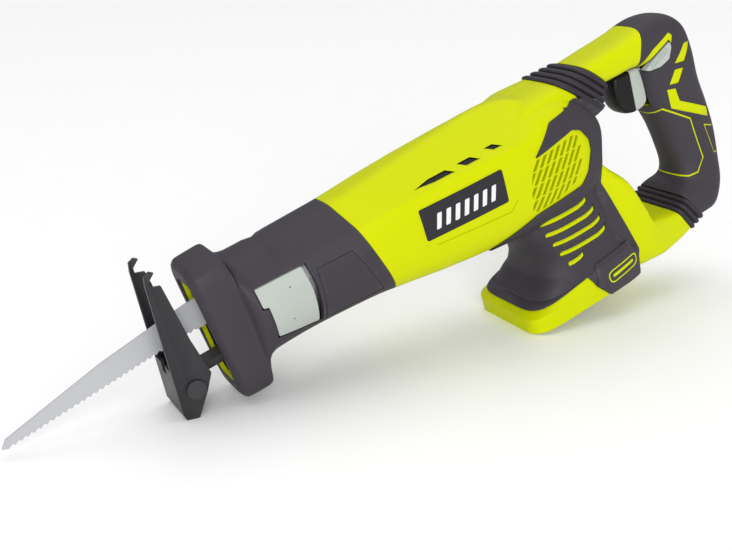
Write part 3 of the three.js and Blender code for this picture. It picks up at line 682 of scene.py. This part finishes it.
def make_plates(body):
    """The side plate with a generic mark on it: a row of slanted bars."""
    plate = common(between(body, -0.5, 0.7), prism(softened(NAME_PLATE, 1.6), *LEFT_WALL))
    both_sides(plate, "name_plate", "plate_face")
    marks = []
    for i in range(MARK_BARS):
        x, z = MARK_START[0] + i * MARK_STEP[0], MARK_START[1] + i * MARK_STEP[1]
        bar = [(x + 1.8, z + 5.4), (x + 5.4, z + 5.3), (x + 1.8, z - 5.3), (x - 1.8, z - 5.2)]
        marks.append(prism(softened(bar, 0.7), *LEFT_WALL))
    mark = common(join(marks[0], *marks[1:]), between(body, 0.6, 0.85))
    both_sides(mark, "plate_mark", "white_print", nodes=False)


# A black sheet a little under each vent opening: painted shade, so that the vents look dark.
def make_vent_shade_sheets(body):
    shade_sheets = [prism(inset(outline, 0.03), *LEFT_WALL) for outline in VENTS]
    shade_sheet = common(join(shade_sheets[0], *shade_sheets[1:]), between(body, -1.6, -0.8))
    both_sides(shade_sheet, "vent_shade_sheet", "black_plastic", nodes=False)


def make_badges(body):
    """A rounded ring with one plain bar in it."""
    rim = cut(prism(softened(BADGE, 5), *LEFT_WALL), prism(softened(inset(BADGE, 1), 4.2), -61, -19))
    bar = prism(softened(inset(BADGE, 4.2), 1), *LEFT_WALL)
    badge = join(common(rim, between(body, 2.2, 2.7)), common(bar, between(body, 2.2, 2.45)))
    both_sides(badge, "badge", "lime_plastic")


body_skin = make_housing()
make_patches(body_skin)
make_plates(body_skin)
make_vent_shade_sheets(body_skin)
make_badges(body_skin)


# ---- nose ----
LEVER = [(31, 19.8), (64.4, 19.5), (65.2, 4), (63.8, -22), (46, -19), (34.5, -16.5), (34.5, 7), (31, 7.4)]
LEVER_DIMPLES = [(52, 12), (47, -9)]
POCKET = [
    (30.2, 20.6), (68, 20.4), (69, 4), (67.2, -24), (46, -20.6), (33.6, -17.8), (33.6, 6.1), (30.2, 6.5),
]
PANEL = [(72.7, 13.8), (99, 14.1), (112.6, -24.5), (69.5, -24), (72.7, 13.8)]
MOUTH = (34, -42, 15)  # top, bottom and half width of the collar's opening
ROOF = 41  # ridge height along the nose


def mouth_hole(x0, x1, smaller):
    """The collar's opening from x0 to x1, with its sides moved in."""
    top, bottom, half = MOUTH
    rows = [(x, top - smaller, x, bottom + smaller, half - smaller, 6) for x in (x0, x1)]
    return loft(rows, per=1)


def make_boot(skin):
    barrel = loft([(*NOSE[-1], ROOF), *BARREL], -3.4)
    chamber = loft([(3, 33, 3, -41, 18.2, 6), (40, 31, 40, -33, 18.2, 4)])
    boot = cut(copy_of(skin), barrel, chamber, mouth_hole(-4, 6, 0))
    boot = beyond(boot, *SEAM, keep_above=False)
    boot = cut(boot, prism(softened(POCKET, 0.8), *LEFT_WALL))
    boot = cut(boot, common(drawn(PANEL, 0.7, *LEFT_WALL), between(skin, -0.5, 2)))
    show(boot, "front_boot_skin", "grey_overmould", stands_for=["front_boot"], crease=SHARP)


def make_mouth_lining():
    """A thin coloured ring just inside the collar's opening."""
    lining = cut(mouth_hole(0.4, 3.1, 0.1), mouth_hole(-4, 6, 1.4))
    show(lining, "mouth_lining", "lime_plastic")


def make_lever(skin):
    lever = common(between(skin, -2.2, 0.35), prism(softened(LEVER, 0.9), *LEFT_WALL))
    for at in LEVER_DIMPLES:
        lever = cut(lever, rod(-60, -30, 0.55, at, 16))
    show(lever, "shoe_lever_skin", "pale_plastic", "shoe_lever", ["shoe_lever"])


def make_nose():
    skin = loft([(*row, ROOF) for row in NOSE] + BARREL, per=5)
    make_mouth_lining()
    make_boot(skin)
    make_lever(skin)
    drop(skin)


make_nose()


# ---- bellows ----
VALLEY = -0.9  # how far the folds dip under the stated sections
FOLD_STEPS = 12
FOLD_ROUNDNESS = 0.55


def bellows(first, last, ribs, out):
    """Round ribs standing out from sections that run from first to last."""
    rows = []
    steps = FOLD_STEPS * ribs
    for i in range(steps + 1):
        t = i / steps
        ripple = abs(math.sin(math.pi * t * ribs)) ** FOLD_ROUNDNESS
        grow = VALLEY + (out - VALLEY) * ripple
        top_x, top_z, low_x, low_z, half, power = [a + (b - a) * t for a, b in zip(first, last)]
        across = Vector((top_x - low_x, top_z - low_z)).normalized() * grow
        top = (top_x + across.x, top_z + across.y)
        low = (low_x - across.x, low_z - across.y)
        rows.append((*top, *low, half + grow, power))
    return loft(rows, per=1)


def make_bellows():
    upper = bellows((289.5, 42, 326, 3.5, 25, 3.6), (319.4, 42, 338.6, 20.6, 20, 3.2), 4, 2.4)
    show(upper, "upper_bellows_skin", "bellows_rubber", stands_for=["upper_bellows"])
    lower = bellows((371.5, -102.2, 383.2, -124.2, 27.5, 6), (384.6, -95.7, 399.2, -118.6, 27, 6), 3, 2)
    show(lower, "lower_bellows_skin", "bellows_rubber", stands_for=["lower_bellows"])


make_bellows()


# ---- handle ----
BUTTON = [(372.5, 16.6), (386, 22.6), (400, 28), (401, 23.5), (397, 15.5), (388, 13.2), (377, 14.4)]
BUTTON_TRIM = [
    (367.5, 13.4), (372, 17.6), (386, 23.8), (400.6, 29.4), (402.2, 25.5), (405, 31), (401.6, 34.6),
    (384, 28.4), (371, 20),
]
STRIPES = [
    [(415, 20.5), (423.5, 19), (412, 7.5), (402, 9.5)],
    [(401.2, 5), (410.2, 3), (403, -6.5), (394, -4.5)],
    [(391.5, -7.5), (399.5, -9.5), (402, -21), (432, -40), (430.6, -47.5), (393.5, -24)],
]
GRIP_OUTLINE = [
    (378, -25), (387, -22), (409.5, -39.5), (415.5, -76), (407, -85), (399, -85.2), (388, -82),
]
REAR_OUTLINE = [(423, -51), (434, -57), (433.5, -80), (429, -78), (423, -51)]
CORE_DEPTH = 0.45  # the hard core lies this far under the grip's surface
GRIP_DEPTH = 1.4


def handle_loft(grow=0.0, per=8):
    return loft(HANDLE, grow, soft=True, per=per)


def button_hole():
    return prism(softened(inset(BUTTON, -0.7), 1), *ACROSS)


def trigger_slot():
    return block(362, 388, -9.3, 9.3, -17.6, 18.8)


def handle_core(whole):
    """The hard handle: the bare neck, and a core under the grip."""
    neck = beyond(copy_of(whole), *GRIP_LINE, keep_above=False)
    core = join(handle_loft(-CORE_DEPTH), neck)
    core = cut(core, handle_loft(-WALL - 1.5, per=4), trigger_slot(), button_hole())
    return beyond(core, *CORE_END)


def grip_cover(whole):
    """The soft layer, cut through by stripes and lines so that the core shows."""
    grip = beyond(cut(whole, handle_loft(-GRIP_DEPTH)), *GRIP_START)
    openings = [button_hole(), trigger_slot()]
    openings += [prism(softened(stripe, 0.9), *ACROSS) for stripe in STRIPES]
    openings.append(drawn(GRIP_OUTLINE, 1.4, *ACROSS))
    openings.append(drawn(REAR_OUTLINE, 1.1, *ACROSS))
    openings.append(prism(softened(BUTTON_TRIM, 1), *ACROSS))
    return cut(grip, *openings)


def make_handle():
    whole = handle_loft()
    core = handle_core(whole)
    grip = grip_cover(whole)
    for shape, name, surface in ((core, "handle", "lime_plastic"), (grip, "grip", "grey_overmould")):
        left = cut(copy_of(shape), right_half(250, 0.12))
        right = cut(shape, block(250, 500, -80, 0.12, -200, 200))
        for at in HANDLE_SCREWS:
            right = cut(right, screw_recess(at))
        show(left, f"{name}_left_skin", surface, stands_for=[f"{name}_left"])
        show(right, f"{name}_right_skin", surface, stands_for=[f"{name}_right"])


make_handle()


# ---- small pieces ----
RECESS_POINTS = 6


def screw(at):
    """A low domed head with a six-pointed recess, on a shank."""
    head = rod(HEAD_Y + 0.4, HEAD_Y + 2.6, HEAD_R, at, 40)
    crown = rod(HEAD_Y + 2.4, HEAD_Y + 3, HEAD_R - 0.7, at, 40)
    shank = rod(-9, HEAD_Y + 1, 2, at, 20)
    made = join(head, crown, shank)
    for k in range(RECESS_POINTS // 2):
        bar = block(-1.9, 1.9, HEAD_Y + 1.4, HEAD_Y + 5, -0.55, 0.55)
        turn = Matrix.Rotation(k * math.tau / RECESS_POINTS, 4, "Y")
        bar.data.transform(Matrix.Translation((at[0], 0, at[1])) @ turn)
        made = cut(made, bar)
    return made


def make_screws():
    for kind, places in (("housing_screw", HOUSING_SCREWS), ("handle_screw", HANDLE_SCREWS)):
        for number, at in enumerate(places, 1):
            node = f"{kind}_{number}"
            show(screw(at), f"{node}_turned", "bright_steel", stands_for=[node])


PIP_ROWS = 3
PIP_COLUMNS = 7
PIP_START = (380.5, 15.4)
PIP_RUN = (15.5, 6.2)
PIP_RISE = (-0.4, 1.5)
BUTTON_STEM = (389.5, 20.4)


def make_button():
    """A plate on each side with rows of small pips, joined by a stem through the handle."""
    body = prism(softened(BUTTON, 1.6), -19.2, -14.5)
    for row in range(PIP_ROWS):
        for column in range(PIP_COLUMNS):
            along = column / (PIP_COLUMNS - 1)
            at = [PIP_START[k] + PIP_RUN[k] * along + PIP_RISE[k] * row for k in (0, 1)]
            body = join(body, rod(-19.8, -18.5, 0.55, at, 12))
    stem = rod(-16, 16, 3, BUTTON_STEM, 32)
    whole = join(copy_of(body), mirrored(body), stem)
    drop(body)
    show(whole, "lock_button_moulded", "pale_plastic", "lock_button", ["lock_button"])


TRIGGER_SPLIT = 366.5
TRIGGER = [
    (352, 18), (380, 18), (380, -12), (374.5, -16.2), (364, -16.4), (356, -13.4), (351.5, -6),
    (349.6, 3), (350, 12),
]
CUSHION_LAYERS = 7


def cushion(outline, half, soft):
    """A slab with the outline's shape whose sides bulge and whose rims are rounded."""
    shape = softened(outline, 5, 6)
    points = []
    for k in range(CUSHION_LAYERS):
        across = math.sin((k / (CUSHION_LAYERS - 1) - 0.5) * math.pi)
        drawn_in = soft * (1 - math.sqrt(max(0, 1 - abs(across) ** 3)))
        points += [(x, across * half, z) for x, z in inset(shape, drawn_in)]
    return new_object("cushion", points, ring_faces(CUSHION_LAYERS, len(shape)))


def make_trigger():
    """A black finger pad in front of a pale moulding."""
    whole = cushion(TRIGGER, 8.8, 2.4)
    pad = common(copy_of(whole), block(340, TRIGGER_SPLIT - GAP, -20, 20, -30, 30))
    rest = common(whole, block(TRIGGER_SPLIT, 400, -20, 20, -30, 30))
    show(pad, "trigger_pad_moulded", "black_plastic", "trigger", ["trigger_pad"])
    show(rest, "trigger_moulded", "pale_plastic", "trigger", ["trigger"])


make_screws()
make_button()
make_trigger()


# ---- carried-over nodes ----
BEVELS = {"shoe": 0.7, "shoe_post": 0.5, "shoe_pin": 0.4, "clamp_collar": 0.6, "plunger": 0.5}
for node, obj in frame["nodes"].items():
    obj.data.materials.clear()
    obj.data.materials.append(LOOKS[SLOT_OF[node]])
    if node in BEVELS:
        edge = obj.modifiers.new("edge", "BEVEL")
        edge.width = BEVELS[node] * MM
        edge.segments = 3
        edge.limit_method = "ANGLE"
        edge.angle_limit = math.radians(38)


# ---- stage ----
SKY_STRENGTH = 0.48


def soft_sun(name, place, strength, spread):
    """A broad light far away in the direction of place."""
    data = bpy.data.lights.new(name, "SUN")
    data.energy = strength
    data.angle = math.radians(spread)
    light = bpy.data.objects.new(name, data)
    bpy.context.scene.collection.objects.link(light)
    light.location = place
    light.rotation_mode = "QUATERNION"
    light.rotation_quaternion = (-Vector(place)).to_track_quat("-Z", "Y")


def make_stage():
    bpy.ops.mesh.primitive_plane_add(size=30, location=(0, 0, 0))
    floor = bpy.context.object
    floor.name = "floor"
    pale = (0.98, 0.98, 0.98, 1)
    surface = finish_material("floor", pale, 0.35, grain=4, depth=0.01, vary=0.005, specular=0.1)
    floor.data.materials.append(surface)
    world = bpy.data.worlds.new("world")
    world.use_nodes = True
    sky = world.node_tree.nodes["Background"]
    sky.inputs["Color"].default_value = (1, 1, 1, 1)
    sky.inputs["Strength"].default_value = SKY_STRENGTH
    bpy.context.scene.world = world
    soft_sun("key", (-0.7, -1.4, 0.4), 2.7, 40)
    soft_sun("top", (0.2, 0.3, 1.6), 1.25, 70)
    bpy.context.scene.view_settings.view_transform = "Standard"


make_stage()
drop(body_skin)
